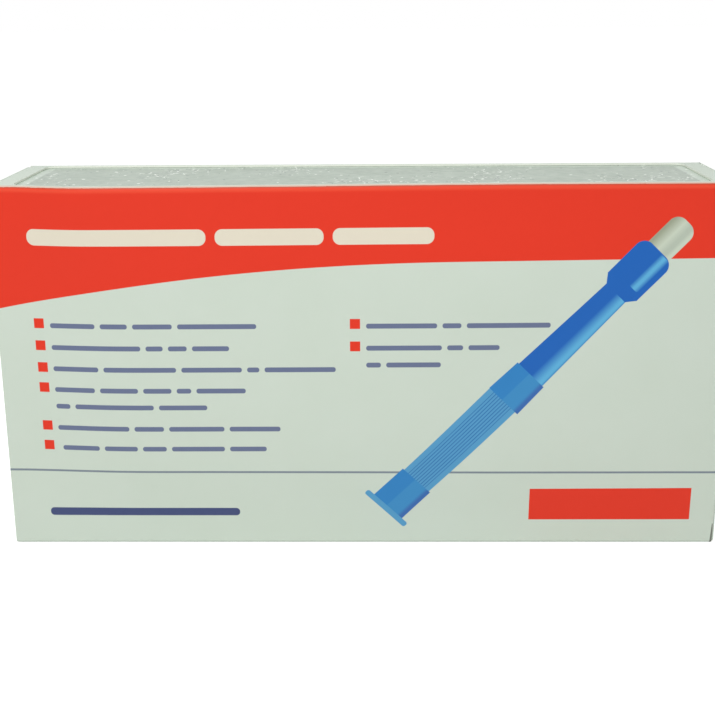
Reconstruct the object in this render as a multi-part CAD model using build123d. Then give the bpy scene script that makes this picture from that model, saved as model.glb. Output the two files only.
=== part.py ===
from build123d import *
import math
import os

# A folding carton of ten sterile biopsy punches, with a window along its top.
#
# The carton is one scored and folded sheet of board: four long panels, a glued seam and four dust flaps.
# Its two end flaps turn on upright creases at opposite corners, and each one tucks a bowed tongue behind the
# panel across from its crease. Behind the window is a clear film. Inside stand five rows of two blister packs,
# each a thermoformed tray with a peel-off lid and one punch: a moulded handle and a steel cutting tube.
#
# Frame: millimetres, the origin at the middle of the base, +X to the right along the carton, +Y to the back
# and +Z up, so that the printed front panel faces -Y.

os.makedirs("parts", exist_ok=True)

# Punch: the handle's steps in order from the flange, then the cutting tube, of 8 mm bore
flange_diameter = 14.9
flange_thickness = 2.4
flange_chamfer = 0.4
low_collar_diameter = 9.8
low_collar_length = 8.6
grip_diameter = 8.6
grip_length = 33.0
grip_grooves = 12
groove_width = 0.7
groove_depth = 0.35
high_collar_low_diameter = 9.5
high_collar_high_diameter = 8.9
high_collar_length = 10.8
neck_low_diameter = 7.9
neck_high_diameter = 6.8
neck_length = 33.4
head_ramp_length = 1.8
head_length = 12.8
head_wall = 1.2
head_chamfer = 0.5
socket_end_wall = 3.3  # left of the head's length behind the cutting tube
cutter_outer_diameter = 8.2
cutter_wall = 0.25
cutter_bevel = 0.9
cutter_reach = 9.7  # out of the head
cutter_fit = 0.03  # clearance of the glued cutting tube in its socket

# Blister pack: a tray of plastic sheet with a peel-off lid
tray_sheet = 0.35
tray_end_margin = 19.75  # from each end of the punch to the tray's end
tray_rim = 1.1  # from the flange's pocket to the tray's side
tray_rim_corner = 2.0
tray_headspace = 1.75  # over the flange
peel_corner = 9.0  # cut off one corner of the tray, where the lid is gripped
peel_lid = 0.25
pocket_play = 0.3  # between the punch and its pocket
pocket_draft = 4.0  # degrees
flange_pocket_draft = 1.5  # degrees
stack_gap = 0.3  # between packs, and between the packs and the carton
rows = 5
columns = 2

# Carton
board = 0.45  # thickness of the folding boxboard
crease_inner_radius = 0.45
seam_flap_width = 12.0
seam_flap_setback = 3.0  # from each end of the carton
seam_corner = 4.0
cut_overrun = 5.0  # how far cutting shapes run past what they cut

# The front panel is pushed out by what is packed behind it, shares of the length counted from the left end
front_bulge = 2.2  # at half height
bulge_rise_shares = (0.00, 0.20)
bulge_fall_shares = (0.60, 1.30)
top_bow = 3.5  # how far its top edge bows out beside the window
bow_rise_shares = (0.00, 0.13)
bow_fall_shares = (0.08, 0.80)
front_stations = 24
front_strip = 5.0  # part of the top and bottom panels that is shaped together with the front
# Up the panel: height, share of the bulge, share of the top bow
bulge_height_shares = ((0.22, 0.80, 0.05), (0.50, 1.00, 0.20), (0.78, 0.70, 0.40))

# Window in the top panel, and its film
window_end_margin = 5.8
window_side_margin = 2.0
window_corner = 3.0
film = 0.15
film_end_lap = 4.0  # how far the film runs on past the window at each end
film_side_lap = 1.0
glue_gap = 0.05

# End flaps, each with a tongue
flap_play = 0.35  # between an end flap and the planes of the base and the top
crease_gap = 0.06  # across the mitred crease
tuck_clearance = 0.35  # between the tongue and the panel that it slides behind
tongue_reach = 12.5
tongue_room = 1.5  # from the tip of the tongue to the packs
tongue_side_cut = 2.0
tongue_corner = 8.0
fold_inner_radius = 0.35  # of the fold from end flap to tongue
free_edge_setback = 0.8  # the tucked-in panel stops this short of the carton's end

# Dust flaps
dust_gap = 0.15  # between a dust flap and the end flap over it
dust_length = 27.0
dust_crease_side_cut = 1.2
dust_tongue_side_cut = 3.6
dust_taper = 4.0  # how much each side narrows over the flap's length
dust_corner = 3.0

# The punch's steps as places along it
low_collar_end = flange_thickness + low_collar_length
grip_end = low_collar_end + grip_length
high_collar_end = grip_end + high_collar_length
neck_end = high_collar_end + neck_length
head_start = neck_end + head_ramp_length
head_end = head_start + head_length
punch_length = head_end + cutter_reach
head_diameter = cutter_outer_diameter + 2 * head_wall
body_diameter = max(head_diameter, low_collar_diameter, high_collar_low_diameter)

# A pack's sizes, its base at z = 0 and the punch along X
tray_length = punch_length + 2 * tray_end_margin
tray_width = flange_diameter + 2 * (pocket_play + tray_sheet + tray_rim)
punch_axis_z = tray_sheet + pocket_play + flange_diameter / 2
rim_z = punch_axis_z + flange_diameter / 2 + pocket_play + tray_headspace
pack_height = rim_z + peel_lid
row_pitch = pack_height + stack_gap
column_pitch = tray_width + stack_gap

# The carton's sizes, round the packs
carton_length = tray_length + 2 * (tongue_reach + tongue_room)
carton_depth = columns * column_pitch + stack_gap + 2 * board
packs_base_z = 2 * board + stack_gap
film_bottom = packs_base_z + rows * row_pitch
carton_height = film_bottom + film + glue_gap + board
half_length = carton_length / 2
half_depth = carton_depth / 2
tongue_radius = carton_depth - board - tuck_clearance


def block(low, high):
    """A box between two corners."""
    size = [h - l for l, h in zip(low, high)]
    middle = [(l + h) / 2 for l, h in zip(low, high)]
    return Pos(*middle) * Box(*size)


def half_turn(shape):
    """The shape turned half round the upright axis, from one end of the carton to the other."""
    return Rot(0, 0, 180) * shape


def rise(place, start, end):
    """Rises smoothly from 0 at start to 1 at end, and is level beyond them."""
    share = min(max((place - start) / (end - start), 0), 1)
    return share**2 * (3 - 2 * share)


def top_edge_bow(share):
    """How far the front panel's top edge bows out at a share of the length."""
    return top_bow * rise(share, *bow_rise_shares) * (1 - rise(share, *bow_fall_shares))


def front_section(share):
    """The C-shaped section of the board at a share of the length: top strip, front panel, bottom strip."""
    strip_y = -half_depth + front_strip
    bulge = front_bulge * rise(share, *bulge_rise_shares) * (1 - rise(share, *bulge_fall_shares))
    bow = top_edge_bow(share)

    def side(inset):
        """One face of the board, inset from the outside, from the top strip down to the bottom strip."""
        radius = crease_inner_radius + board - inset
        top, low = carton_height - inset, inset
        top_y, low_y = inset - half_depth - bow, inset - half_depth
        middle = [
            (low_y - bulge * b - bow * w, carton_height * h)
            for h, b, w in reversed(bulge_height_shares)
        ]
        panel_ends = [(top_y, top - radius), (low_y, low + radius)]
        return [
            Line((strip_y, top), (top_y + radius, top)),
            TangentArc((top_y + radius, top), panel_ends[0], tangent=(-1, 0)),
            Spline(panel_ends[0], *middle, panel_ends[1], tangents=[(0, -1), (0, -1)]),
            TangentArc(panel_ends[1], (low_y + radius, low), tangent=(0, -1)),
            Line((low_y + radius, low), (strip_y, low)),
        ]

    outside, inside = side(0), side(board)
    top_end = Line(inside[0] @ 0, outside[0] @ 0)
    low_end = Line(outside[-1] @ 1, inside[-1] @ 1)
    outline = Wire([*outside, low_end, *inside, top_end])
    place = Plane(origin=(share * carton_length - half_length, 0, 0), x_dir=(0, 1, 0), z_dir=(1, 0, 0))
    return place * Face(outline)


def front_panel():
    """The front panel with the strips of top and bottom beside it, bowed along the length."""
    return loft([front_section(n / front_stations) for n in range(front_stations + 1)])


def rear_channel():
    """The flat panels: the bottom, the back and the top, with their creases, as one folded channel."""
    outline = Pos(front_strip / 2, carton_height / 2) * Rectangle(
        carton_depth - front_strip, carton_height
    )
    outside = extrude(Plane.YZ * outline, half_length, both=True)
    rear_edges = outside.edges().filter_by(Axis.X).sort_by(Axis.Y)[-2:]
    outside = fillet(rear_edges, crease_inner_radius + board)
    hollow = Pos((front_strip - board - cut_overrun) / 2, carton_height / 2) * Rectangle(
        carton_depth - front_strip - board + cut_overrun, carton_height - 2 * board
    )
    inside = extrude(Plane.YZ * hollow, carton_length, both=True)
    inner_edges = inside.edges().filter_by(Axis.X).sort_by(Axis.Y)[-2:]
    inside = fillet(inner_edges, crease_inner_radius)
    return outside - inside


def seam_flap():
    """The glued seam: a strip of the back panel turned in on the inside of the bottom panel."""
    end_x = half_length - seam_flap_setback
    back_y = half_depth - board
    flap = block((-end_x, back_y - seam_flap_width, board), (end_x, back_y, 2 * board))
    front_corners = flap.edges().filter_by(Axis.Z).sort_by(Axis.Y)[:2]
    return chamfer(front_corners, seam_corner)


def mitre_wedge(gap):
    """What lies behind the mitre of the front left crease, gap beyond the plane of the mitre."""
    x, y = -half_length, -half_depth + gap * math.sqrt(2)
    far = carton_length
    outline = Polyline((x - far, y - far), (x + far, y + far), (x - far, y + far), close=True)
    wedge = extrude(make_face(outline), carton_height + 2 * cut_overrun, dir=(0, 0, 1))
    return Pos(0, 0, -cut_overrun) * wedge


def end_cut():
    """What is cut away at the left end: the top and bottom panels' ends and the tucked-in panel's edge."""
    panel_end = board + dust_gap + crease_inner_radius + board
    rear_crease_y = half_depth - crease_inner_radius - board
    low_x, low_z = -half_length - cut_overrun, -cut_overrun
    back_y, top_z = half_depth + cut_overrun, carton_height + cut_overrun
    panel_ends = block(
        (low_x, -back_y, low_z), (-half_length + panel_end, rear_crease_y, top_z)
    )
    free_edge = block((low_x, 0, low_z), (-half_length + free_edge_setback, back_y, top_z))
    return (panel_ends & mitre_wedge(0)) + free_edge


def dust_flap():
    """The dust flap of the top panel at the left end, folded down behind the end flap."""
    outer_x = -half_length + board + dust_gap
    inner_x = outer_x + board
    fold_x = inner_x + crease_inner_radius
    top, under = carton_height, carton_height - board
    fold_z = under - crease_inner_radius
    low_z = top - dust_length
    profile = Wire(
        [
            Line((fold_x, under), (fold_x, top)),
            TangentArc((fold_x, top), (outer_x, fold_z), tangent=(-1, 0)),
            Line((outer_x, fold_z), (outer_x, low_z)),
            Line((outer_x, low_z), (inner_x, low_z)),
            Line((inner_x, low_z), (inner_x, fold_z)),
            TangentArc((inner_x, fold_z), (fold_x, under), tangent=(0, 1)),
        ]
    )
    folded = extrude(Plane.XZ * Face(profile), half_depth, both=True)
    crease_y = -half_depth + board + dust_crease_side_cut
    tongue_y = half_depth - board - dust_tongue_side_cut
    outline = Polyline(
        (crease_y, top + cut_overrun),
        (crease_y, fold_z),
        (crease_y + dust_taper, low_z),
        (tongue_y - dust_taper, low_z),
        (tongue_y, fold_z),
        (tongue_y, top + cut_overrun),
        close=True,
    )
    trim = extrude(Plane.YZ * make_face(outline), carton_length, both=True)
    tip_corners = trim.edges().filter_by(Axis.X).sort_by(Axis.Z)[:2]
    return folded & fillet(tip_corners, dust_corner)


def top_plate(end_margin, side_margin, low_z, thickness):
    """A plate at the top panel, inside its edges by the margins, with its front edge bowed as the panel's is."""
    end_x, side_y = half_length - end_margin, half_depth - side_margin
    places = [end_x * (2 * n / front_stations - 1) for n in range(front_stations + 1)]
    front = [(x, -side_y - top_edge_bow((x + half_length) / carton_length)) for x in places]
    sides = Polyline(front[-1], (end_x, side_y), (-end_x, side_y), front[0])
    outline = Face(Wire([Spline(*front), *sides.edges()]))
    return extrude(Pos(0, 0, low_z) * outline, thickness, dir=(0, 0, 1))


def window_cut():
    """The window through the top panel."""
    low_z = carton_height - cut_overrun
    cut = top_plate(window_end_margin, window_side_margin, low_z, 2 * cut_overrun)
    return fillet(cut.edges().filter_by(Axis.Z), window_corner)


def carton_body():
    """The folded sheet: the panels, cut at both ends, with the seam, the window and the dust flaps."""
    left_cut = end_cut()
    panels = rear_channel().fuse(front_panel(), glue=True)
    panels = panels - left_cut - half_turn(left_cut) - window_cut()
    top_flap = dust_flap()
    low_flap = Pos(0, 0, carton_height) * mirror(top_flap, Plane.XY)
    return panels + [top_flap, low_flap, half_turn(top_flap), half_turn(low_flap)] + seam_flap()


def end_flap():
    """The left end flap, hinged on the front panel, with its tongue bowed round the crease."""
    x, y = -half_length, -half_depth
    outer, inner = tongue_radius, tongue_radius - board
    reach = math.asin(tongue_reach / outer)
    fold = math.asin(board / inner)

    def around(radius, angle):
        """A place at a radius about the crease, turned in from the end of the carton."""
        return x + radius * math.sin(angle), y + radius * math.cos(angle)

    plan = Wire(
        [
            Line((x, y), around(outer, 0)),
            RadiusArc(around(outer, 0), around(outer, reach), outer),
            Line(around(outer, reach), around(inner, reach)),
            RadiusArc(around(inner, reach), around(inner, fold), -inner),
            Line(around(inner, fold), (x + board, y)),
            Line((x + board, y), (x, y)),
        ]
    )
    height = carton_height - 2 * flap_play
    flap = Pos(0, 0, flap_play) * extrude(Face(plan), height, dir=(0, 0, 1))
    middle_z = carton_height / 2
    uprights = flap.edges().filter_by(Axis.Z)
    outer_fold = uprights.sort_by_distance((*around(outer, 0), middle_z))[0]
    flap = fillet(outer_fold, fold_inner_radius + board)
    uprights = flap.edges().filter_by(Axis.Z)
    inner_fold = uprights.sort_by_distance((*around(inner, fold), middle_z))[0]
    flap = fillet(inner_fold, fold_inner_radius)
    return flap & (flap_outline(x) + tongue_outline(x)) & mitre_wedge(crease_gap)


def flap_outline(x):
    """The room of the end flap's flat part, up to the fold of its tongue."""
    low = (x - cut_overrun, -half_depth - cut_overrun, -cut_overrun)
    high = (
        x + fold_inner_radius + board,
        half_depth + cut_overrun,
        carton_height + cut_overrun,
    )
    return block(low, high)


def tongue_outline(x):
    """The room of the tongue, narrower than the end flap and with rounded corners."""
    low = (x, -half_depth - cut_overrun, tongue_side_cut)
    high = (x + tongue_reach, half_depth + cut_overrun, carton_height - tongue_side_cut)
    room = block(low, high)
    tip_corners = room.edges().filter_by(Axis.Y).sort_by(Axis.X)[-2:]
    return fillet(tip_corners, tongue_corner)


def window_film():
    """The clear film behind the window, glued to the underside of the top panel."""
    end_margin = window_end_margin - film_end_lap
    side_margin = window_side_margin - film_side_lap
    return top_plate(end_margin, side_margin, film_bottom, film)


def turned(outline):
    """A turned form about the X axis, from the corners of its half section."""
    return revolve(Plane.XZ * make_face(Polyline(*outline, close=True)), Axis.X)


def handle():
    """The moulded handle, from its flange at x = 0 to its head, with a socket for the cutting tube."""
    socket = cutter_outer_diameter / 2 + cutter_fit
    socket_floor = head_start + socket_end_wall
    form = turned(
        [
            (0, 0),
            (0, flange_diameter / 2),
            (flange_thickness, flange_diameter / 2),
            (flange_thickness, low_collar_diameter / 2),
            (low_collar_end, low_collar_diameter / 2),
            (low_collar_end, grip_diameter / 2),
            (grip_end, grip_diameter / 2),
            (grip_end, high_collar_low_diameter / 2),
            (high_collar_end, high_collar_high_diameter / 2),
            (high_collar_end, neck_low_diameter / 2),
            (neck_end, neck_high_diameter / 2),
            (head_start, head_diameter / 2),
            (head_end - head_chamfer, head_diameter / 2),
            (head_end, head_diameter / 2 - head_chamfer),
            (head_end, socket),
            (socket_floor, socket),
            (socket_floor, 0),
        ]
    )
    rims = form.edges().filter_by(GeomType.CIRCLE).sort_by(SortBy.RADIUS)[-2:]
    form = chamfer(rims, flange_chamfer)
    groove = Pos((low_collar_end + grip_end) / 2, 0, grip_diameter / 2) * Box(
        grip_length, groove_width, 2 * groove_depth
    )
    return form - [Rot(360 * n / grip_grooves, 0, 0) * groove for n in range(grip_grooves)]


def cutter():
    """The steel cutting tube, seated in the head, with its outside bevelled to an edge."""
    outer = cutter_outer_diameter / 2
    bore = outer - cutter_wall
    seat = head_start + socket_end_wall + cutter_fit
    return turned(
        [(seat, bore), (seat, outer), (punch_length - cutter_bevel, outer), (punch_length, bore)]
    )


def pocket(low_x, high_x, diameter, draft, outset):
    """The room of a drafted pocket round a turned length of the punch, grown by outset."""
    reach = pocket_play + outset
    depth = rim_z - punch_axis_z + diameter / 2 + reach
    spread = reach + depth * math.tan(math.radians(draft))
    mouth = Rectangle(high_x - low_x + 2 * spread, diameter + 2 * spread)
    return extrude(Pos((low_x + high_x) / 2, 0, rim_z) * mouth, -depth, taper=draft)


def pockets(outset):
    """The pockets of the flange and of the rest of the punch, with the flange to the left."""
    low_x, high_x = -punch_length / 2, punch_length / 2
    flange = pocket(
        low_x, low_x + flange_thickness, flange_diameter, flange_pocket_draft, outset
    )
    return flange + pocket(low_x, high_x, body_diameter, pocket_draft, outset)


def tray():
    """The thermoformed tray: a rim with the two pockets under it, all of one sheet, less its peel corner."""
    x, y = tray_length / 2, tray_width / 2
    rim = RectangleRounded(tray_length, tray_width, tray_rim_corner)
    corner = Polyline((-x, y), (-x, y - peel_corner), (peel_corner - x, y), close=True)
    rim = Pos(0, 0, rim_z) * (rim - make_face(corner))
    return extrude(rim, -tray_sheet) + pockets(tray_sheet) - pockets(0)


def lid():
    """The peel-off lid on the tray's rim."""
    outline = Pos(0, 0, rim_z) * RectangleRounded(tray_length, tray_width, tray_rim_corner)
    return extrude(outline, peel_lid)


def pack_places():
    """The place of each pack in the carton: rows from the base up, every other row turned end for end."""
    places = []
    for row in range(rows):
        turn = Rot(0, 0, 180 * (row % 2))
        for column in range(columns):
            y = (column - (columns - 1) / 2) * column_pitch
            places.append(Pos(0, y, packs_base_z + row * row_pitch) * turn)
    return places


def write(name, shape):
    """Writes one piece to its STEP file."""
    solids = shape.solids()
    export_step(solids[0] if len(solids) == 1 else Compound(solids), f"parts/{name}.step")


left_end_flap = end_flap()
write("carton_body", carton_body())
write("left_end_flap", left_end_flap)
write("right_end_flap", half_turn(left_end_flap))
write("window_film", window_film())

punch_place = Pos(-punch_length / 2, 0, punch_axis_z)
pack_pieces = {
    "handle": punch_place * handle(),
    "cutter": punch_place * cutter(),
    "tray": tray(),
    "peel_lid": lid(),
}
for number, place in enumerate(pack_places(), start=1):
    for name, piece in pack_pieces.items():
        write(f"{name}_{number:02d}", place * piece)
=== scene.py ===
"""Dresses a folding carton of ten biopsy punches: printed board, a clear window film and the packs inside.

The CAD nodes keep their shapes and get procedural materials. The print on the front is made of plain
fields, bars and squares, and of a picture of a punch in flat sections, placed in millimetres on the panel.
"""

import logging
import math
from dataclasses import dataclass, field
from enum import Enum
from typing import Any

import bmesh
import bpy
from mathutils import Matrix, Vector


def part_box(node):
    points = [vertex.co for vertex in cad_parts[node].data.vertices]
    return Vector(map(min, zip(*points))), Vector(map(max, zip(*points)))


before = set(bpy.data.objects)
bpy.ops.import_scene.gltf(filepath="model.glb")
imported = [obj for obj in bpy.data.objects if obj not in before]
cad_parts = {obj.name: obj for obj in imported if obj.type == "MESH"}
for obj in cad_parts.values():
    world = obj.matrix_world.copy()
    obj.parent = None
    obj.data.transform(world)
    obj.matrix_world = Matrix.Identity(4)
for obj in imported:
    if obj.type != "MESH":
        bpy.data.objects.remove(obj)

LOG = logging.getLogger("carton")
MM = 0.001
WHITE = "#FFFFFF"

Tree = bpy.types.NodeTree
Value = Any  # a number, a vector, a colour as #RRGGBB, or the output socket that gives one
Layer = tuple[Value, Value]  # a cover, from 0 for bare to 1 for inked, and the colour that it shows

# A Mix node's sockets for colours go by number, because its other sockets have the same names
MIX_SHARE, MIX_BELOW, MIX_ABOVE, MIX_RESULT = 0, 6, 7, 2


class Ink(str, Enum):
    """The colours of the print as they look on the board, with a painted highlight on the crease's red
    and a painted shade for the slit at the front panel's right edge.
    """

    RED = "#DB341E"
    # A painted highlight on the red where the top crease bends
    RED_CREASE_HIGHLIGHT = "#E44A31"
    RED_EDGE = "#B9492F"
    # Paler red where the crease faces up
    RED_FACING_UP = "#D0B9AA"
    CREAM = "#DAD3C0"
    SLATE = "#656F8B"
    NAVY = "#404A72"
    RULE = "#7A858E"
    DEEP_BLUE = "#1B5FB0"
    MID_BLUE = "#2F7DBA"
    FACET_BLUE = "#3B87BC"
    GROOVE_BLUE = "#2A6AA8"
    PALE_BLUE = "#5296C0"
    LIGHT_BLUE = "#5BA9D2"
    SHADE_BLUE = "#3866A8"
    SILVER = "#C1CBB9"
    SILVER_DIM = "#AFBAAA"
    SILVER_SHADE = "#969D87"
    # Painted shade: the dark slit between the front panel's right edge and the end flap
    PAINTED_GAP_SHADE = "#6E736A"


class Paper(str, Enum):
    """The colours of the board and the lids."""

    COATED = "#C4D0C2"
    COATED_CLOUD = "#C8D3C7"
    # Bare fibre for the inside and the cut edges, painted whiter than such fibre is, to lift the shade on the
    # cut edges
    UNCOATED_LIGHTENED = "#F3F5EC"
    UNCOATED_FIBRE = "#E8ECE1"
    LID = "#D3DBD3"
    LID_FIBRE = "#C4CEC5"


def linear(colour: str) -> tuple[float, float, float, float]:
    """Turns an sRGB hex colour into linear RGBA.

    Args:
        colour: The colour as #RRGGBB.

    Returns:
        Linear red, green, blue and an alpha of 1.
    """
    shares = [int(colour[i : i + 2], 16) / 255 for i in (1, 3, 5)]
    light = [c / 12.92 if c <= 0.04045 else ((c + 0.055) / 1.055) ** 2.4 for c in shares]
    return (*light, 1.0)


def add(
    tree: Tree, kind: str, *inputs: Value, named: dict | None = None, **settings: Any
) -> bpy.types.NodeOutputs:
    """Adds a shader node with its settings and its links.

    Args:
        tree: The node tree that gets the node.
        kind: The node's type name without its first part, ShaderNode.
        inputs: A value or an output socket for each input in order.
        named: The same by the input's name or number.
        settings: The node's own properties.

    Returns:
        The node's outputs.
    """
    node = tree.nodes.new(f"ShaderNode{kind}")
    for name, setting in settings.items():
        setattr(node, name, setting)
    for key, value in {**dict(enumerate(inputs)), **(named or {})}.items():
        if isinstance(value, bpy.types.NodeSocket):
            tree.links.new(value, node.inputs[key])
        else:
            node.inputs[key].default_value = linear(value) if isinstance(value, str) else value
    return node.outputs


def layered(tree: Tree, ground: Value, *layers: Layer) -> Value:
    """Lays colours over a ground, one after another.

    Args:
        tree: The node tree.
        ground: The lowest colour.
        layers: Each layer's cover and its colour, from the lowest up.

    Returns:
        The socket of the colour that shows.
    """
    for cover, colour in layers:
        named = {MIX_SHARE: cover, MIX_BELOW: ground, MIX_ABOVE: colour}
        ground = add(tree, "Mix", named=named, data_type="RGBA")[MIX_RESULT]
    return ground


def new_material(name: str) -> tuple[bpy.types.Material, Tree]:
    """Makes a material with an empty tree.

    Args:
        name: The material's name.

    Returns:
        The material and its node tree.
    """
    material = bpy.data.materials.new(name)
    material.use_nodes = True
    material.node_tree.nodes.clear()
    return material, material.node_tree


def in_millimetres(tree: Tree, scale: tuple = (1, 1, 1)) -> Value:
    """Returns the place on the object in millimetres, each axis times a scale."""
    place = add(tree, "TexCoord")["Object"]
    return add(tree, "Mapping", place, named={"Scale": tuple(s / MM for s in scale)})[0]


def paint(material: bpy.types.Material, *nodes: str) -> None:
    """Puts one material on whole CAD nodes.

    Args:
        material: The material.
        nodes: The names of the CAD nodes.
    """
    for node in nodes:
        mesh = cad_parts[node].data
        mesh.materials.clear()
        mesh.materials.append(material)
        LOG.info("%s has %s", node, material.name)


@dataclass
class Press:
    """Draws the covers of shapes in a material's node tree.

    Soft is the width of a shape's edge in millimetres, and a group is made when a shape first needs it.
    """

    tree: Tree
    soft: float = 0.12
    groups: dict = field(default_factory=dict)

    def edge(self, tree: Tree, depth: Value) -> Value:
        """Turns a depth inside a shape, in millimetres, into its cover."""
        return add(tree, "Math", depth, 1 / self.soft, 0.5, operation="MULTIPLY_ADD", use_clamp=True)[0]

    def group(self, name: str, inputs: dict, outputs: tuple) -> tuple[Tree, Any, Any]:
        """Starts a node group.

        Args:
            name: The group's name.
            inputs: Each input's name and its kind, Vector or Float.
            outputs: The names of the outputs, all numbers.

        Returns:
            The group's tree, its given sockets and its result sockets.
        """
        tree = self.groups[name] = bpy.data.node_groups.new(name, "ShaderNodeTree")
        for label, kind in inputs.items():
            tree.interface.new_socket(label, in_out="INPUT", socket_type=f"NodeSocket{kind}")
        for label in outputs:
            tree.interface.new_socket(label, in_out="OUTPUT", socket_type="NodeSocketFloat")
        return tree, tree.nodes.new("NodeGroupInput").outputs, tree.nodes.new("NodeGroupOutput").inputs

    def make_bar_group(self) -> None:
        """Makes the group of a bar with round corners."""
        kinds = {"Place": "Vector", "Middle": "Vector", "Half": "Vector", "Corner": "Float"}
        tree, (place, middle, half, corner, *_), results = self.group("bar", kinds, ("Cover",))
        away = add(tree, "VectorMath", place, middle, operation="SUBTRACT")[0]
        away = add(tree, "VectorMath", away, operation="ABSOLUTE")[0]
        away = add(tree, "VectorMath", away, half, operation="SUBTRACT")[0]
        away = add(tree, "VectorMath", away, (0, 0, 0), operation="MAXIMUM")[0]
        reach = add(tree, "VectorMath", away, operation="LENGTH")["Value"]
        depth = add(tree, "Math", corner, reach, operation="SUBTRACT")[0]
        tree.links.new(self.edge(tree, depth), results[0])

    def make_section_group(self) -> None:
        """Makes the group of a tapered section, with the place across it from -1 to 1."""
        names = ("Along", "Across", "Start", "End", "Half at start", "Half at end")
        tree, given, results = self.group("section", dict.fromkeys(names, "Float"), ("Cover", "Share"))
        along, across, start, end, first, last = given[:6]
        half = add(tree, "MapRange", along, start, end, first, last)[0]
        off_middle = add(tree, "Math", across, operation="ABSOLUTE")[0]
        beside = add(tree, "Math", half, off_middle, operation="SUBTRACT")[0]
        past_start = add(tree, "Math", along, start, operation="SUBTRACT")[0]
        before_end = add(tree, "Math", end, along, operation="SUBTRACT")[0]
        depth = add(tree, "Math", past_start, before_end, operation="MINIMUM")[0]
        depth = add(tree, "Math", beside, depth, operation="MINIMUM")[0]
        tree.links.new(self.edge(tree, depth), results[0])
        tree.links.new(add(tree, "Math", across, half, operation="DIVIDE")[0], results[1])

    def bar(self, place: Value, low: tuple, high: tuple, corner: float) -> Value:
        """Draws a bar with round corners.

        Args:
            place: The place on the picture.
            low: The bar's lowest corner.
            high: Its highest corner.
            corner: The radius of its corners.

        Returns:
            Its cover.
        """
        if "bar" not in self.groups:
            self.make_bar_group()
        middle = ((low[0] + high[0]) / 2, (low[1] + high[1]) / 2, 0)
        half = ((high[0] - low[0]) / 2 - corner, (high[1] - low[1]) / 2 - corner, 0)
        return add(self.tree, "Group", place, middle, half, corner, node_tree=self.groups["bar"])[0]

    def section(self, along: Value, across: Value, sizes: tuple) -> tuple[Value, Value]:
        """Draws a tapered section.

        Args:
            along: The place along the picture.
            across: The place across it.
            sizes: Its start, its end and its half widths there.

        Returns:
            Its cover, and the place across it from -1 to 1.
        """
        if "section" not in self.groups:
            self.make_section_group()
        cover, share = add(self.tree, "Group", along, across, *sizes, node_tree=self.groups["section"])
        return cover, share

    def together(self, covers: list) -> Value:
        """Joins covers into one.

        Args:
            covers: The covers.

        Returns:
            The cover of all of them.
        """
        joined = covers[0]
        for cover in covers[1:]:
            joined = add(self.tree, "Math", joined, cover, operation="MAXIMUM")[0]
        return joined

    def shaded(self, share: Value, stops: tuple) -> Value:
        """Shades a shape from side to side.

        Args:
            share: The place across it, from -1 at its right side to 1 at its left.
            stops: Places from 0 at its right side to 1 at its left, each with its ink.

        Returns:
            The socket of the colour.
        """
        place = add(self.tree, "Math", share, 0.5, 0.5, operation="MULTIPLY_ADD")[0]
        shade = add(self.tree, "ValToRGB", place)[0]
        elements = shade.node.color_ramp.elements
        while len(elements) < len(stops):
            elements.new(0.5)
        for element, (position, ink) in zip(elements, stops):
            element.position = position
            element.color = linear(ink)
        return shade


@dataclass(frozen=True)
class PicturePlace:
    """A place on the picture: as a vector, along it, across the grip and across the leaning upper part."""

    vector: Value
    along: Value
    across: Value
    leaning: Value


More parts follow.
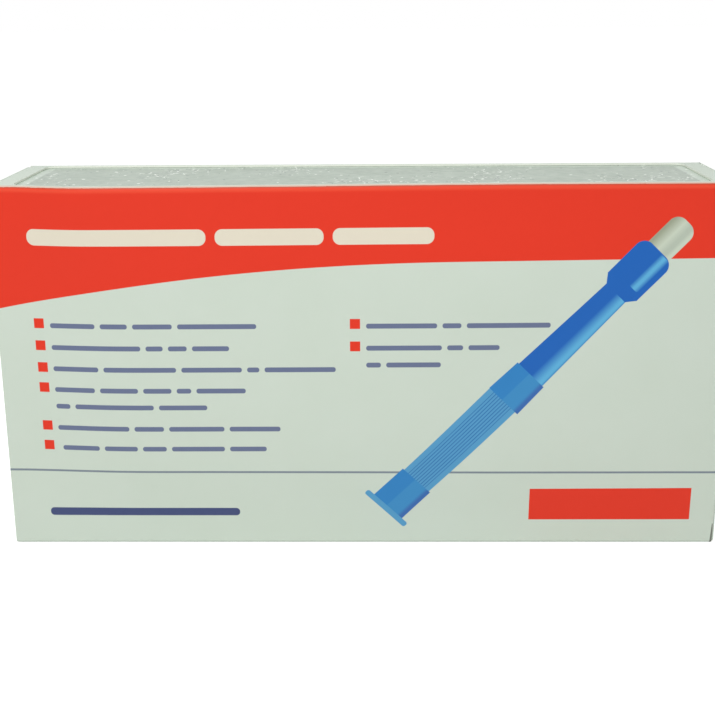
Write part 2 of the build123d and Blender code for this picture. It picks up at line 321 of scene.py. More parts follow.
@dataclass(frozen=True)
class PunchPicture:
    """The printed picture of a punch, in millimetres along it and across it.

    A section holds its start, its end, and its half width or its half widths at both. The upper part, from
    the high collar on, leans off the grip's middle line.
    """

    start: tuple = (5.7, 9.9)
    angle: float = 45.62
    lean: float = 0.33
    tube: tuple = (88.0, 102.8, 3.48)
    tube_corner: float = 2.7
    head: tuple = (81.1, 93.35, 5.05)
    head_corner: float = 2.7
    streak: tuple = ((82.6, -4.0), (93.1, -1.0))
    streak_corner: float = 0.6
    shoulder: tuple = (79.0, 81.2, 3.25, 5.05)
    neck: tuple = (50.0, 82.0, 4.15, 3.25)
    high_collar: tuple = (41.1, 50.5, 4.95, 4.6)
    grip: tuple = (10.6, 41.4, 4.38, 4.48)
    low_collar: tuple = (0.5, 11.0, 4.95, 4.85)
    flange: tuple = (-0.75, 0.75, 7.0)
    flange_corner: float = 0.6
    grip_lines: int = 12
    lined_share: float = 0.68
    line_gain: float = 1.1
    line_offset: float = -0.1
    tube_shades: tuple = (
        (0.0, Ink.SILVER), (0.1, Ink.SILVER), (0.22, Ink.SILVER_DIM), (0.33, Ink.SILVER_DIM),
        (0.57, Ink.SILVER), (0.92, Ink.SILVER_SHADE),
    )
    neck_shades: tuple = (
        (0.0, Ink.MID_BLUE), (0.07, Ink.LIGHT_BLUE), (0.15, Ink.LIGHT_BLUE), (0.47, Ink.DEEP_BLUE),
    )
    streak_shades: tuple = (
        (0.13, Ink.DEEP_BLUE), (0.24, Ink.LIGHT_BLUE), (0.29, Ink.LIGHT_BLUE), (0.4, Ink.DEEP_BLUE),
    )
    collar_shades: tuple = (
        (0.08, Ink.SHADE_BLUE), (0.18, Ink.FACET_BLUE), (0.53, Ink.FACET_BLUE), (0.56, Ink.MID_BLUE),
    )

    def draw_tube_and_neck(self, press: Press, place: PicturePlace) -> list[Layer]:
        """Draws the cutting tube and the neck.

        Args:
            press: What draws in the material.
            place: The place on the picture.

        Returns:
            The layers of both.
        """
        low, high, half = self.tube
        corners = (low, -half - self.lean), (high, half - self.lean)
        tube = press.bar(place.vector, *corners, self.tube_corner)
        across = add(press.tree, "Math", place.leaning, half, operation="DIVIDE")[0]
        neck, share = press.section(place.along, place.leaning, self.neck)
        return [
            (tube, press.shaded(across, self.tube_shades)),
            (neck, press.shaded(share, self.neck_shades)),
        ]

    def draw_head(self, press: Press, place: PicturePlace) -> list[Layer]:
        """Draws the head: a sleeve, its round rim and its sloping shoulder, with a streak of light.

        Args:
            press: What draws in the material.
            place: The place on the picture.

        Returns:
            The layers of the head and its streak.
        """
        low, high, half = self.head
        sleeve, _ = press.section(place.along, place.leaning, (low, high - self.head_corner, half, half))
        shoulder, _ = press.section(place.along, place.leaning, self.shoulder)
        corners = ((low + high) / 2, -half - self.lean), (high, half - self.lean)
        rim = press.bar(place.vector, *corners, self.head_corner)
        streak = press.bar(place.vector, *self.streak, self.streak_corner)
        across = add(press.tree, "Math", place.leaning, half, operation="DIVIDE")[0]
        return [
            (press.together([sleeve, shoulder, rim]), Ink.DEEP_BLUE),
            (streak, press.shaded(across, self.streak_shades)),
        ]

    def draw_grip(self, press: Press, place: PicturePlace) -> list[Layer]:
        """Draws the grip, with dark lines along its middle part.

        Args:
            press: What draws in the material.
            place: The place on the picture.

        Returns:
            The layers of the grip and its lines.
        """
        tree = press.tree
        grip, share = press.section(place.along, place.across, self.grip)
        turn = add(tree, "Math", share, math.pi * self.grip_lines, operation="MULTIPLY")[0]
        wave = add(tree, "Math", turn, operation="COSINE")[0]
        gains = self.line_gain, self.line_offset
        line = add(tree, "Math", wave, *gains, operation="MULTIPLY_ADD", use_clamp=True)[0]
        off_middle = add(tree, "Math", share, operation="ABSOLUTE")[0]
        lined = add(tree, "Math", off_middle, self.lined_share, operation="LESS_THAN")[0]
        line = add(tree, "Math", line, lined, operation="MULTIPLY")[0]
        line = add(tree, "Math", line, grip, operation="MULTIPLY")[0]
        return [(grip, Ink.PALE_BLUE), (line, Ink.GROOVE_BLUE)]

    def draw(self, press: Press, panel: Value) -> list[Layer]:
        """Draws the punch.

        Args:
            press: What draws in the material.
            panel: The place on the panel.

        Returns:
            The picture's layers.
        """
        tree = press.tree
        named = {"Location": (*self.start, 0), "Rotation": (0, 0, math.radians(self.angle))}
        vector = add(tree, "Mapping", panel, named=named, vector_type="TEXTURE")[0]
        along, across, _ = add(tree, "SeparateXYZ", vector)
        leaning = add(tree, "Math", across, self.lean, operation="ADD")[0]
        place = PicturePlace(vector, along, across, leaning)
        layers = self.draw_tube_and_neck(press, place)
        layers += self.draw_head(press, place) + self.draw_grip(press, place)
        for beside, sizes in ((leaning, self.high_collar), (across, self.low_collar)):
            collar, share = press.section(along, beside, sizes)
            layers.append((collar, press.shaded(share, self.collar_shades)))
        low, high, half = self.flange
        flange = press.bar(vector, (low, -half), (high, half), self.flange_corner)
        return [*layers, (flange, Ink.PALE_BLUE)]


@dataclass(frozen=True)
class FrontPrint:
    """The print on the front panel, in millimetres from the panel's middle and up from the base.

    The band's lower edge falls evenly to the left, and from the bend on in a curve as well. The crease
    holds the heights where the red's painted highlight starts, is strongest, and where the red ends, and the
    red is paler where the board faces up. A row of bars holds its lower left corner and its bars' widths.
    """

    band_z: float = 74.52
    band_fall: float = 1.45
    band_bend_x: float = 25.0
    band_bend: float = 10.79
    band_power: float = 2.2
    band_bars: tuple = (-80.8, 78.35, (43.4, 26.0, 24.3))
    band_bar_height: float = 4.0
    band_bar_gap: float = 2.2
    crease_z: tuple = (90.9, 91.6, 92.25)
    crease_edge: float = 0.3
    facing_up_normal: float = 0.72
    bullet: float = 2.5
    bullets: tuple = (
        (-79.5, 58.9), (-79.5, 53.3), (-79.35, 47.7), (-79.35, 42.5), (-79.3, 32.5), (-79.25, 27.25),
        (-1.85, 58.9), (-1.85, 53.25),
    )
    plate: tuple = ((42.05, 6.60), (83.00, 15.35))
    square_corner: float = 0.1
    rows: tuple = (
        (-76.7, 57.75, (11.2, 6.7, 9.7, 19.3)),
        (-76.7, 52.2, (22.2, 4.2, 4.6, 9.1)),
        (-76.65, 46.75, (11.4, 18.0, 14.9, 3.0, 17.5)),
        (-76.65, 41.35, (10.2, 9.5, 7.0, 3.6, 12.2)),
        (-76.65, 37.0, (3.6, 19.8, 12.0)),
        (-76.6, 31.35, (18.2, 7.4, 13.8, 12.7)),
        (-75.7, 26.0, (9.4, 8.4, 6.0, 13.3, 9.2)),
        (0.85, 57.7, (17.3, 4.6, 20.4)),
        (0.85, 52.15, (18.5, 3.9, 7.6)),
        (0.85, 47.85, (3.6, 13.4)),
    )
    row_height: float = 1.25
    row_gap: float = 1.3
    bar_rounding: float = 0.45
    rule_z: float = 20.32
    rule_fall: float = 0.71
    rule_power: float = 2.0
    rule_thickness: float = 0.55
    low_bar: tuple = (-80.4, 7.85, (48.75,))
    low_bar_height: float = 2.15
    # The painted shade of the slit at the front panel's right edge: its place along the panel, then its
    # heights and half widths
    painted_gap_shade_x: float = 89.05
    painted_gap_shade: tuple = (-0.3, 5.4, 0.45, 0.1)
    picture: PunchPicture = field(default_factory=PunchPicture)

    def bars(self, press: Press, panel: Value, row: tuple, height: float, gap: float = 0.0) -> list[Value]:
        """Draws a row of plain bars with round ends.

        Args:
            press: What draws in the material.
            panel: The place on the panel.
            row: The row's lower left corner and its bars' widths.
            height: The bars' height.
            gap: The gap between two bars.

        Returns:
            The bars' covers.
        """
        x, z, widths = row
        covers = []
        for width in widths:
            covers.append(press.bar(panel, (x, z), (x + width, z + height), height * self.bar_rounding))
            x += width + gap
        return covers

    def draw_band(self, press: Press, x: Value, z: Value, half_length: float) -> Value:
        """Draws the band across the top, whose lower edge falls in a curve to the left.

        Args:
            press: What draws in the material.
            x: The place along the panel.
            z: The place up the panel.
            half_length: Half of the carton's length.

        Returns:
            The band's cover.
        """
        tree = press.tree
        slope = self.band_fall / (2 * half_length)
        from_end = add(tree, "Math", half_length, x, operation="SUBTRACT")[0]
        fall = add(tree, "Math", from_end, slope, operation="MULTIPLY")[0]
        past_bend = add(tree, "Math", self.band_bend_x, x, operation="SUBTRACT")[0]
        reach = self.band_bend_x + half_length
        share = add(tree, "Math", past_bend, reach, operation="DIVIDE", use_clamp=True)[0]
        curve = add(tree, "Math", share, self.band_power, operation="POWER")[0]
        fall = add(tree, "Math", curve, self.band_bend, fall, operation="MULTIPLY_ADD")[0]
        level = add(tree, "Math", self.band_z, fall, operation="SUBTRACT")[0]
        return press.edge(tree, add(tree, "Math", z, level, operation="SUBTRACT")[0])

    def mix_red(self, press: Press, z: Value, upward: Value) -> Value:
        """Mixes the band's red: painted highlight where the board bends, dark edge on the crease, pale above
        it.

        Args:
            press: What draws in the material.
            z: The place up the panel.
            upward: The part of the surface's normal that points up.

        Returns:
            The socket of the colour.
        """
        tree = press.tree
        low, middle, high = self.crease_z
        up = add(tree, "MapRange", z, low, middle)[0]
        down = add(tree, "MapRange", z, middle, high, 1.0, 0.0)[0]
        # pale is a painted highlight on the red where the crease bends
        pale = add(tree, "Math", up, down, operation="MULTIPLY")[0]
        dark = add(tree, "MapRange", z, middle + self.crease_edge, high)[0]
        # The red turns paler where the crease faces up
        facing_up = add(tree, "Math", upward, self.facing_up_normal, operation="GREATER_THAN")[0]
        layers = (pale, Ink.RED_CREASE_HIGHLIGHT), (dark, Ink.RED_EDGE), (facing_up, Ink.RED_FACING_UP)
        return layered(tree, Ink.RED, *layers)

    def draw_squares(self, press: Press, panel: Value) -> Value:
        """Draws the bullets and the plate.

        Args:
            press: What draws in the material.
            panel: The place on the panel.

        Returns:
            The cover of all of them.
        """
        half = self.bullet / 2
        boxes = [((x - half, z - half), (x + half, z + half)) for x, z in self.bullets]
        return press.together([press.bar(panel, *box, self.square_corner) for box in (*boxes, self.plate)])

    def draw_rule(self, press: Press, x: Value, z: Value, half_length: float) -> Value:
        """Draws the rule across the lower part, which falls a little to the right.

        Args:
            press: What draws in the material.
            x: The place along the panel.
            z: The place up the panel.
            half_length: Half of the carton's length.

        Returns:
            The rule's cover.
        """
        tree = press.tree
        along = add(tree, "Math", x, 0.5 / half_length, 0.5, operation="MULTIPLY_ADD")[0]
        curve = add(tree, "Math", along, self.rule_power, operation="POWER")[0]
        level = add(tree, "Math", curve, -self.rule_fall, self.rule_z, operation="MULTIPLY_ADD")[0]
        above = add(tree, "Math", z, level, operation="SUBTRACT")[0]
        away = add(tree, "Math", above, operation="ABSOLUTE")[0]
        return press.edge(tree, add(tree, "Math", self.rule_thickness / 2, away, operation="SUBTRACT")[0])

    def draw(self, press: Press, place: Value, upward: Value, half_length: float, bare: Value) -> Value:
        """Draws the whole front over the bare board.

        Args:
            press: What draws in the material.
            place: The place on the object in millimetres.
            upward: The part of the surface's normal that points up.
            half_length: Half of the carton's length.
            bare: The board's own colour.

        Returns:
            The socket of the printed colour.
        """
        tree = press.tree
        x, _, z = add(tree, "SeparateXYZ", place)
        panel = add(tree, "CombineXYZ", x, z)[0]
        rows = []
        for row in self.rows:
            rows += self.bars(press, panel, row, self.row_height, self.row_gap)
        band_bars = self.bars(press, panel, self.band_bars, self.band_bar_height, self.band_bar_gap)
        low_bars = self.bars(press, panel, self.low_bar, self.low_bar_height)
        # Painted shade in the slit at the front panel's right edge
        from_painted_gap_shade = add(tree, "Math", x, self.painted_gap_shade_x, operation="SUBTRACT")[0]
        painted_gap_shade, _ = press.section(z, from_painted_gap_shade, self.painted_gap_shade)
        layers = [
            (self.draw_band(press, x, z, half_length), self.mix_red(press, z, upward)),
            (self.draw_squares(press, panel), Ink.RED),
            (press.together(rows), Ink.SLATE),
            (press.together(band_bars), Ink.CREAM),
            (self.draw_rule(press, x, z, half_length), Ink.RULE),
            (press.together(low_bars), Ink.NAVY),
            (painted_gap_shade, Ink.PAINTED_GAP_SHADE),
        ]
        return layered(tree, bare, *layers, *self.picture.draw(press, panel))


@dataclass(frozen=True)
class PrintedBoard:
    """Coated folding boxboard, printed and varnished outside, bare fibre inside.

    The eye gets a faint sheen and soft clouds in the coat, and a rougher inside and cut edge, whose bare
    fibre is painted whiter than it is, to lift the shade on the cut edges.
    Its single fibres are too fine to show, so tufts of them are drawn. The front's print lies on what faces
    forward within the print's depth of the panel's creases. Sizes are in millimetres.
    """

    name: str
    middle_z: float
    half_length: float
    half_depth: float
    front: FrontPrint | None = None
    forward_normal: float = -0.1
    print_depth: float = 1.0
    roughness: float = 0.45
    fibre_roughness: float = 0.85
    specular: float = 0.2
    cloud: float = 16.0
    tuft: float = 0.8
    tuft_detail: float = 4.0
    bump_strength: float = 0.1
    bump_depth: float = 0.04

    def print_front(self, tree: Tree, place: Value, normal: Value, coat: Value) -> Value:
        """Prints the front over the coat.

        Args:
            tree: The material's node tree.
            place: The place on the object in millimetres.
            normal: The surface's normal.
            coat: The colour of the coat.

        Returns:
            The socket of the colour.
        """
        _, backward, upward = add(tree, "SeparateXYZ", normal)
        _, y, _ = add(tree, "SeparateXYZ", place)
        printed = self.front.draw(Press(tree), place, upward, self.half_length, coat)
        faces = add(tree, "Math", backward, self.forward_normal, operation="LESS_THAN")[0]
        near = add(tree, "Math", y, self.print_depth - self.half_depth, operation="LESS_THAN")[0]
        return layered(tree, coat, (add(tree, "Math", faces, near, operation="MULTIPLY")[0], printed))

    def find_inside(self, tree: Tree, place: Value, normal: Value) -> Value:
        """Finds the faces that look towards the carton's middle.

        Args:
            tree: The material's node tree.
            place: The place on the object in millimetres.
            normal: The surface's normal.

        Returns:
            The socket that is 1 inside and 0 outside.
        """
        from_middle = add(tree, "VectorMath", place, (0, 0, self.middle_z), operation="SUBTRACT")[0]
        outward = add(tree, "VectorMath", from_middle, normal, operation="DOT_PRODUCT")["Value"]
        return add(tree, "Math", outward, 0.0, operation="LESS_THAN")[0]

    def build(self) -> bpy.types.Material:
        """Makes the material.

        Returns:
            The material.
        """
        material, tree = new_material(self.name)
        place = in_millimetres(tree)
        normal = add(tree, "TexCoord")["Normal"]
        cloud = add(tree, "TexNoise", named={"Vector": place, "Scale": 1 / self.cloud})[0]
        coat = layered(tree, Paper.COATED, (cloud, Paper.COATED_CLOUD))
        if self.front:
            coat = self.print_front(tree, place, normal, coat)
        tufts = add(tree, "TexNoise", named={
            "Vector": place, "Scale": 1 / self.tuft, "Detail": self.tuft_detail})[0]
        # Bare fibre, painted lighter to lift the shade on the cut edges
        bare = layered(tree, Paper.UNCOATED_LIGHTENED, (tufts, Paper.UNCOATED_FIBRE))
        inside = self.find_inside(tree, place, normal)
        shader = add(tree, "BsdfPrincipled", named={
            "Base Color": layered(tree, coat, (inside, bare)),
            "Roughness": add(tree, "MapRange", inside, 0.0, 1.0, self.roughness, self.fibre_roughness)[0],
            "Specular IOR Level": self.specular,
            "Normal": add(tree, "Bump", named={
                "Strength": self.bump_strength, "Distance": self.bump_depth * MM, "Height": tufts})[0]})[0]
        add(tree, "OutputMaterial", shader)
        return material


@dataclass(frozen=True)
class ClearFilm:
    """Clear oriented film, crinkled and a little hazy, with painted glints and painted shade in small specks
    where it is creased.

    Towards the window's edges it is hazier, from the glue that holds it behind the board. Sizes are in
    millimetres, but the reach of a fleck or a stroke is a share of its size. The window is given by half
    its length and by its rear edge.
    """

    window: tuple
    name: str = "crinkled_clear_film"
    tint: str = "#EDF3EC"
    haze_colour: str = "#BAC9B9"
    # Painted glints and painted shade of the crinkles
    deep_haze_colour: str = "#AEBEAF"
    painted_glint: str = "#DFE8DD"
    painted_crinkle_shade: str = "#7F8C83"
    haze: float = 0.66
    haze_swing: float = 0.22
    roughness: float = 0.26
    specular: float = 0.25
    crinkle: float = 2.6
    crinkle_detail: float = 3.0
    mottle: tuple = (0.35, 0.65)
    bump_strength: float = 0.6
    bump_depth: float = 0.25
    squash: tuple = (0.62, 0.42, 0)
    fleck: float = 1.9
    fleck_reach: float = 0.13
    fleck_share: float = 0.8
    stroke: float = 2.8
    stroke_reach: float = 0.03
    stroke_share: float = 0.72
    cut: float = 0.9
    patch: float = 13.0
    patch_detail: float = 1.0
    glue_reach: tuple = (2.8, 1.6)

    def glue(self, tree: Tree) -> Value:
        """Draws the haze of the glue beside the window's ends and its rear edge.

        Args:
            tree: The material's node tree.

        Returns:
            The cover of the haze.
        """
        x, y, _ = add(tree, "SeparateXYZ", in_millimetres(tree))
        off_middle = add(tree, "Math", x, operation="ABSOLUTE")[0]
        past_end = add(tree, "Math", off_middle, self.window[0], operation="SUBTRACT")[0]
        past_rear = add(tree, "Math", y, self.window[1], operation="SUBTRACT")[0]
        past = add(tree, "Math", past_end, past_rear, operation="MAXIMUM")[0]
        far, near = self.glue_reach
        return add(tree, "MapRange", past, -far, -near)[0]

    def painted_glints_and_shade(self, tree: Tree) -> tuple[Value, Value]:
        """Draws painted glints and painted crinkle shade as specks and short strokes, close in some patches
        of the film and rare in others.

        Args:
            tree: The material's node tree.

        Returns:
            The covers of the painted glints and of the painted crinkle shade.
        """
        place = in_millimetres(tree, self.squash)
        cells = add(tree, "TexVoronoi", named={"Vector": place, "Scale": 1 / self.fleck})
        spot = add(tree, "Math", cells["Distance"], self.fleck_reach, operation="LESS_THAN")[0]
        chance = add(tree, "SeparateColor", cells["Color"])[0]
        named = {"Vector": place, "Scale": 1 / self.stroke}
        rim = add(tree, "TexVoronoi", named=named, feature="DISTANCE_TO_EDGE")[0]
        rim = add(tree, "Math", rim, self.stroke_reach, operation="LESS_THAN")[0]
        cuts = add(tree, "TexNoise", named={"Vector": place, "Scale": 1 / self.cut})[0]
        crowd = add(tree, "TexNoise", named={
            "Vector": place, "Scale": 1 / self.patch, "Detail": self.patch_detail})[0]
        fleck_limit = add(tree, "Math", crowd, self.fleck_share, operation="MULTIPLY")[0]
        stroke_limit = add(tree, "Math", crowd, self.stroke_share, operation="MULTIPLY")[0]
        other_chance = add(tree, "Math", 1.0, chance, operation="SUBTRACT")[0]
        other_cuts = add(tree, "Math", 1.0, cuts, operation="SUBTRACT")[0]
        covers = []
        for luck, cut in ((chance, cuts), (other_chance, other_cuts)):
            chosen = add(tree, "Math", luck, fleck_limit, operation="LESS_THAN")[0]
            dots = add(tree, "Math", spot, chosen, operation="MULTIPLY")[0]
            uncut = add(tree, "Math", cut, stroke_limit, operation="LESS_THAN")[0]
            strokes = add(tree, "Math", rim, uncut, operation="MULTIPLY")[0]
            covers.append(add(tree, "Math", dots, strokes, operation="MAXIMUM")[0])
        bright, dark = covers
        return bright, dark

    def build(self) -> bpy.types.Material:
        """Makes the material.

        Returns:
            The material.
        """
        material, tree = new_material(self.name)
        flat = in_millimetres(tree, (1, 1, 0))
        bends = add(tree, "TexNoise", named={
            "Vector": flat, "Scale": 1 / self.crinkle, "Detail": self.crinkle_detail})[0]
        mottle = add(tree, "MapRange", bends, *self.mottle)[0]
        # Painted glints and painted crinkle shade, laid over the haze
        bright, dark = self.painted_glints_and_shade(tree)
        layers = (mottle, self.haze_colour), (bright, self.painted_glint), (dark, self.painted_crinkle_shade)
        surface = add(tree, "BsdfPrincipled", named={
            "Base Color": layered(tree, self.deep_haze_colour, *layers),
            "Roughness": self.roughness,
            "Specular IOR Level": self.specular,
            "Normal": add(tree, "Bump", named={
                "Strength": self.bump_strength, "Distance": self.bump_depth * MM, "Height": bends})[0]})[0]
        clear = add(tree, "BsdfTransparent", self.tint)[0]
        patches = add(tree, "TexNoise", named={"Vector": flat, "Scale": 1 / self.patch})[0]
        share = add(tree, "Math", patches, self.haze_swing, self.haze, operation="MULTIPLY_ADD")[0]
        painted_glints_and_shade = add(tree, "Math", bright, dark, operation="ADD")[0]
        share = add(tree, "Math", painted_glints_and_shade, share, operation="ADD")[0]
        share = add(tree, "Math", self.glue(tree), share, operation="ADD", use_clamp=True)[0]
        add(tree, "OutputMaterial", add(tree, "MixShader", share, clear, surface)[0])
        return material


@dataclass(frozen=True)
class FormedSheet:
    """Thermoformed clear sheet: see-through on the flat, brighter where it turns away, with draw marks.

    The marks' sizes are in millimetres.
    """

    name: str = "thermoformed_clear_sheet"
    tint: str = "#F1F6F8"
    sheen: str = "#DCE6EA"
    gloss_share: float = 0.16
    edge_share: float = 0.45
    edge_blend: float = 0.35
    roughness: float = 0.1
    mark: float = 3.0
    bump_strength: float = 0.3
    bump_depth: float = 0.15

    def build(self) -> bpy.types.Material:
        """Makes the material.

        Returns:
            The material.
        """
        material, tree = new_material(self.name)
        marks = add(tree, "TexNoise", named={"Vector": in_millimetres(tree), "Scale": 1 / self.mark})[0]
        normal = add(tree, "Bump", named={
            "Strength": self.bump_strength, "Distance": self.bump_depth * MM, "Height": marks})[0]
        edge = add(tree, "LayerWeight", self.edge_blend, normal)["Facing"]
        share = add(tree, "Math", edge, self.edge_share, self.gloss_share, operation="MULTIPLY_ADD")[0]
        clear = add(tree, "BsdfTransparent", self.tint)[0]
        surface = add(tree, "BsdfPrincipled", named={
            "Base Color": self.sheen, "Roughness": self.roughness, "Normal": normal})[0]
        add(tree, "OutputMaterial", add(tree, "MixShader", share, clear, surface)[0])
        return material


@dataclass(frozen=True)
class LidPaper:
    """Medical peel paper: matte white with the cloudy look of spun fibre.

    Sizes are in millimetres. Its real threads are finer, and are drawn as coarse as they need to show.
    """

    name: str = "medical_peel_paper"
    roughness: float = 0.75
    cloud: float = 2.4
    cloud_detail: float = 5.0
    thread: float = 0.35
    thread_detail: float = 3.0
    bump_strength: float = 0.25
    bump_depth: float = 0.05

    def build(self) -> bpy.types.Material:
        """Makes the material.

        Returns:
            The material.
        """
        material, tree = new_material(self.name)
        place = in_millimetres(tree)
        cloud = add(tree, "TexNoise", named={
            "Vector": place, "Scale": 1 / self.cloud, "Detail": self.cloud_detail})[0]
        threads = add(tree, "TexNoise", named={
            "Vector": place, "Scale": 1 / self.thread, "Detail": self.thread_detail})[0]
        shader = add(tree, "BsdfPrincipled", named={
            "Base Color": layered(tree, Paper.LID_FIBRE, (cloud, Paper.LID)),
            "Roughness": self.roughness,
            "Normal": add(tree, "Bump", named={
                "Strength": self.bump_strength, "Distance": self.bump_depth * MM, "Height": threads})[0]})[0]
        add(tree, "OutputMaterial", shader)
        return material


@dataclass(frozen=True)
class MouldedPlastic:
    """Injection-moulded polypropylene: an even blue with a satin skin and faint flow clouds.

    Sizes are in millimetres. The real skin's grain is finer, and is drawn as coarse as it needs to show.
    """

    name: str = "moulded_polypropylene"
    colour: str = "#1E63B4"
    flow_colour: str = "#2B72C2"
    roughness: float = 0.36
    flow: float = 6.0
    grain: float = 0.2
    bump_strength: float = 0.12
    bump_depth: float = 0.02

    def build(self) -> bpy.types.Material:
        """Makes the material.

        Returns:
            The material.
        """
        material, tree = new_material(self.name)
        place = in_millimetres(tree)
        flow = add(tree, "TexNoise", named={"Vector": place, "Scale": 1 / self.flow})[0]
        grain = add(tree, "TexNoise", named={"Vector": place, "Scale": 1 / self.grain})[0]
        shader = add(tree, "BsdfPrincipled", named={
            "Base Color": layered(tree, self.colour, (flow, self.flow_colour)),
            "Roughness": self.roughness,
            "Normal": add(tree, "Bump", named={
                "Strength": self.bump_strength, "Distance": self.bump_depth * MM, "Height": grain})[0]})[0]
        add(tree, "OutputMaterial", shader)
        return material


@dataclass(frozen=True)
class DrawnSteel:
    """Drawn stainless tube: bright metal with fine marks along its length.

    A mark is given by its length and its two widths in millimetres. Real marks are finer, and are drawn as
    coarse as they need to show. They change the roughness from its first value to its second.
    """

    name: str = "drawn_stainless_steel"
    colour: str = "#C6C8CA"
    roughness: tuple = (0.26, 0.39)
    mark: tuple = (5.0, 0.125, 0.125)
    mark_levels: tuple = (0.3, 0.7)
    bump_strength: float = 0.08
    bump_depth: float = 0.01

    def build(self) -> bpy.types.Material:
        """Makes the material.

        Returns:
            The material.
        """
        material, tree = new_material(self.name)
        place = in_millimetres(tree, tuple(1 / size for size in self.mark))
        marks = add(tree, "TexNoise", named={"Vector": place, "Scale": 1.0})[0]
        shader = add(tree, "BsdfPrincipled", named={
            "Base Color": self.colour,
            "Metallic": 1.0,
            "Roughness": add(tree, "MapRange", marks, *self.mark_levels, *self.roughness)[0],
            "Normal": add(tree, "Bump", named={
                "Strength": self.bump_strength, "Distance": self.bump_depth * MM, "Height": marks})[0]})[0]
        add(tree, "OutputMaterial", shader)
        return material


@dataclass(frozen=True)
class Carton:
    """The board carton: its printed body, its end flaps, and the film that laps over behind the window's rim.

    The laps are the film's margins in millimetres, at the window's ends and at its long sides.
    """

    body: str = "carton_body"
    flaps: tuple = ("left_end_flap", "right_end_flap")
    film: str = "window_film"
    film_laps: tuple = (4.0, 1.0)

    def build(self) -> None:
        """Gives the board its print, and the film its finish."""
        low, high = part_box(self.body)
        sizes = {
            "middle_z": (low[2] + high[2]) / 2 / MM,
            "half_length": high[0] / MM,
            "half_depth": high[1] / MM,
        }
        paint(PrintedBoard("printed_boxboard", front=FrontPrint(), **sizes).build(), self.body)
        paint(PrintedBoard("plain_boxboard", **sizes).build(), *self.flaps)
        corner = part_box(self.film)[1]
        window = tuple(corner[axis] / MM - self.film_laps[axis] for axis in (0, 1))
        paint(ClearFilm(window).build(), self.film)


@dataclass(frozen=True)
class Packs:
    """The blister packs with their punches."""

    count: int = 10

    def build(self) -> None:
        """Gives each kind of piece its finish."""
        finishes = {
            "tray": FormedSheet(),
            "peel_lid": LidPaper(),
            "handle": MouldedPlastic(),
            "cutter": DrawnSteel(),
        }
        for kind, look in finishes.items():
            paint(look.build(), *(f"{kind}_{number:02d}" for number in range(1, self.count + 1)))


@dataclass(frozen=True)
class Camera:
    """The photograph's camera: its aim and distance in millimetres, its angles in degrees.

    The focal length and the picture's width are in pixels, and the sensor's width is in millimetres.
    """

    target: tuple = (-1.327, -19.3, 49.732)
    distance: float = 308.07
    elevation: float = 15.934
    yaw: float = 1.002
    roll: float = -0.417
    focal: float = 1246.8
    picture: float = 715.0
    sensor: float = 36.0
    clip_start: float = 10.0

    def build(self) -> None:
        """Sets up the camera."""
        up_angle, turn, roll = (math.radians(a) for a in (self.elevation, self.yaw, self.roll))
        side = Vector((math.cos(turn), math.sin(turn), 0))
        level = Vector((-math.sin(turn), math.cos(turn), 0))
        upright = Vector((0, 0, 1))
        forward = math.cos(up_angle) * level - math.sin(up_angle) * upright
        above = math.sin(up_angle) * level + math.cos(up_angle) * upright
        right = math.cos(roll) * side + math.sin(roll) * above
        top = math.cos(roll) * above - math.sin(roll) * side
        lens = bpy.data.cameras.new("camera")
        lens.sensor_width = self.sensor
        lens.lens = self.focal / self.picture * self.sensor
        lens.clip_start = self.clip_start * MM
        camera = bpy.data.objects.new("camera", lens)
        place = Matrix.Translation((Vector(self.target) - forward * self.distance) * MM)
        camera.matrix_world = place @ Matrix((right, top, -forward)).transposed().to_4x4()
        bpy.context.scene.collection.objects.link(camera)
        bpy.context.scene.camera = camera


@dataclass(frozen=True)
class Lamp:
    """A soft square lamp: its place and size in metres, its power in watts, and whether gloss shows it."""

    name: str
    place: tuple
    size: float
    power: float
    mirrored: bool = True
    aim: tuple = (0.0, 0.0, 0.05)

    def build(self) -> None:
        """Hangs the lamp."""
        light = bpy.data.lights.new(self.name, "AREA")
        light.size = self.size
        light.energy = self.power
        lamp = bpy.data.objects.new(self.name, light)
        facing = (Vector(self.aim) - Vector(self.place)).to_track_quat("-Z", "Y")
        lamp.visible_glossy = self.mirrored
        lamp.matrix_world = Matrix.Translation(self.place) @ facing.to_matrix().to_4x4()
        bpy.context.scene.collection.objects.link(lamp)


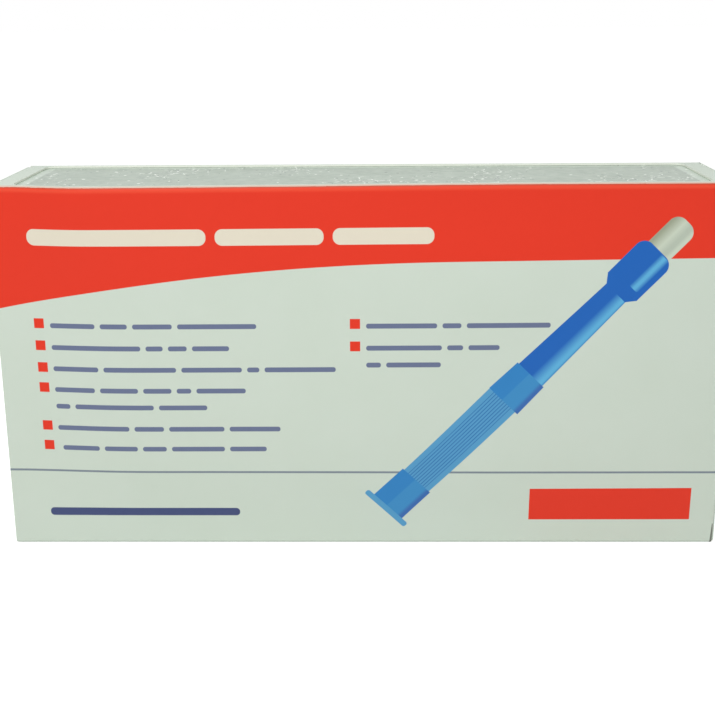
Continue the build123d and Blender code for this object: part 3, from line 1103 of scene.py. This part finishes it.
@dataclass(frozen=True)
class Studio:
    """A pale floor, an even sky, a soft lamp in front and above, and a weaker one behind."""

    floor_half: float = 6.0
    floor_colour: str = "#F8F8F8"
    floor_glow: float = 0.56
    sky: float = 0.5
    shown_sky: float = 1.0
    lamps: tuple = (
        Lamp("front_lamp", (-0.08, -0.29, 0.43), size=0.3, power=1.55),
        Lamp("back_lamp", (0.2, 0.6, 0.12), size=0.2, power=0.9, mirrored=False),
    )

    def seen(self, tree: Tree) -> Value:
        """Finds the rays that show the background: from the camera, and by gloss or through glass.

        Args:
            tree: The node tree.

        Returns:
            The socket that is 1 for these rays and 0 for others.
        """
        path = add(tree, "LightPath")
        rays = add(tree, "Math", path["Is Camera Ray"], path["Is Glossy Ray"], operation="ADD")[0]
        return add(tree, "Math", rays, path["Is Transmission Ray"], operation="ADD", use_clamp=True)[0]

    def build_floor(self) -> None:
        """Lays the floor: pale and matte, and white where no shadow falls."""
        mesh = bpy.data.meshes.new("floor")
        form = bmesh.new()
        bmesh.ops.create_grid(form, x_segments=1, y_segments=1, size=self.floor_half)
        form.to_mesh(mesh)
        form.free()
        floor = bpy.data.objects.new("floor", mesh)
        bpy.context.scene.collection.objects.link(floor)
        material, tree = new_material("pale_matte_floor")
        matte = add(tree, "BsdfDiffuse", self.floor_colour)[0]
        glow = add(tree, "Emission", WHITE, self.floor_glow)[0]
        bright = add(tree, "AddShader", matte, glow)[0]
        add(tree, "OutputMaterial", add(tree, "MixShader", self.seen(tree), matte, bright)[0])
        mesh.materials.append(material)

    def build_sky(self) -> None:
        """Makes an even sky, and shows it white."""
        world = bpy.data.worlds.new("studio_sky")
        bpy.context.scene.world = world
        world.use_nodes = True
        tree = world.node_tree
        tree.nodes.clear()
        even = add(tree, "Background", WHITE, self.sky)[0]
        shown = add(tree, "Background", WHITE, self.shown_sky)[0]
        add(tree, "OutputWorld", add(tree, "MixShader", self.seen(tree), even, shown)[0])

    def build(self) -> None:
        """Builds the floor, the sky and the lamps."""
        self.build_floor()
        self.build_sky()
        for lamp in self.lamps:
            lamp.build()
        bpy.context.scene.view_settings.view_transform = "Standard"


def main() -> None:
    """Builds the stage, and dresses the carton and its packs."""
    logging.basicConfig(level=logging.INFO, format="%(name)s: %(message)s")
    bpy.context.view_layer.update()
    for part in (Camera(), Studio(), Carton(), Packs()):
        part.build()
        LOG.info("%s ready", type(part).__name__.lower())


if __name__ == "__main__":
    main()
